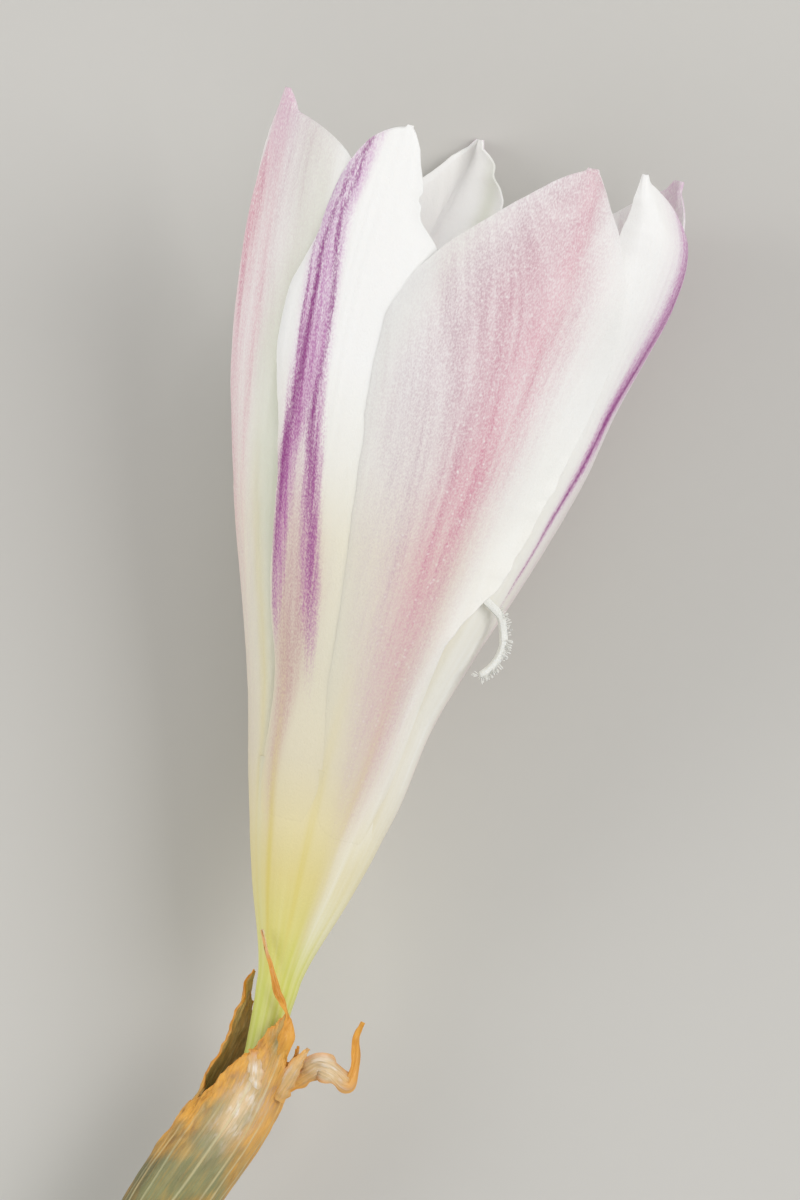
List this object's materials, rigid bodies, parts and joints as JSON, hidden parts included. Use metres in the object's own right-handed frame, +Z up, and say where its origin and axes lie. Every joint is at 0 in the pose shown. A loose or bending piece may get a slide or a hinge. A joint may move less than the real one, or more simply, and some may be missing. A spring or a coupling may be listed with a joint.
{
  "type": "harlequin flower",
  "caption": "Cut harlequin flower lying down: a half open white funnel of overlapping tepals with pink and purple bands, torn papery bracts, a bent neck and a thin green stem.",
  "frame": {"origin": "centre of the base of the bounding box, on the surface that the flower lies on", "axes": "+Y from the cut end of the stem towards the tips of the tepals, +Z up from the surface"},
  "size_m": [0.0204, 0.0888, 0.0182],
  "materials": {
    "tepal": "soft satin petal skin, white with pink and purple bands outside",
    "perianth_tube": "waxy yellow green neck fading to cream",
    "bract": "dry translucent papery bract with pale veins and brown torn edges",
    "green": "smooth waxy green stem",
    "style": "moist white, with fine papillae on the branches",
    "anther": "dusty pale yellow pollen"
  },
  "bodies": {
    "root": {"tepal_outer_front": "tepal", "tepal_outer_left": "tepal", "tepal_outer_back": "tepal", "tepal_inner_left": "tepal", "tepal_inner_right": "tepal", "tepal_inner_back": "tepal", "perianth_tube": "perianth_tube", "bract_outer": "bract", "bract_inner": "bract", "ovary": "green", "stem": "green", "filament_1": "style", "filament_2": "style", "filament_3": "style", "anther_1": "anther", "anther_2": "anther", "anther_3": "anther", "style": "style"}
  },
  "joints": []
}
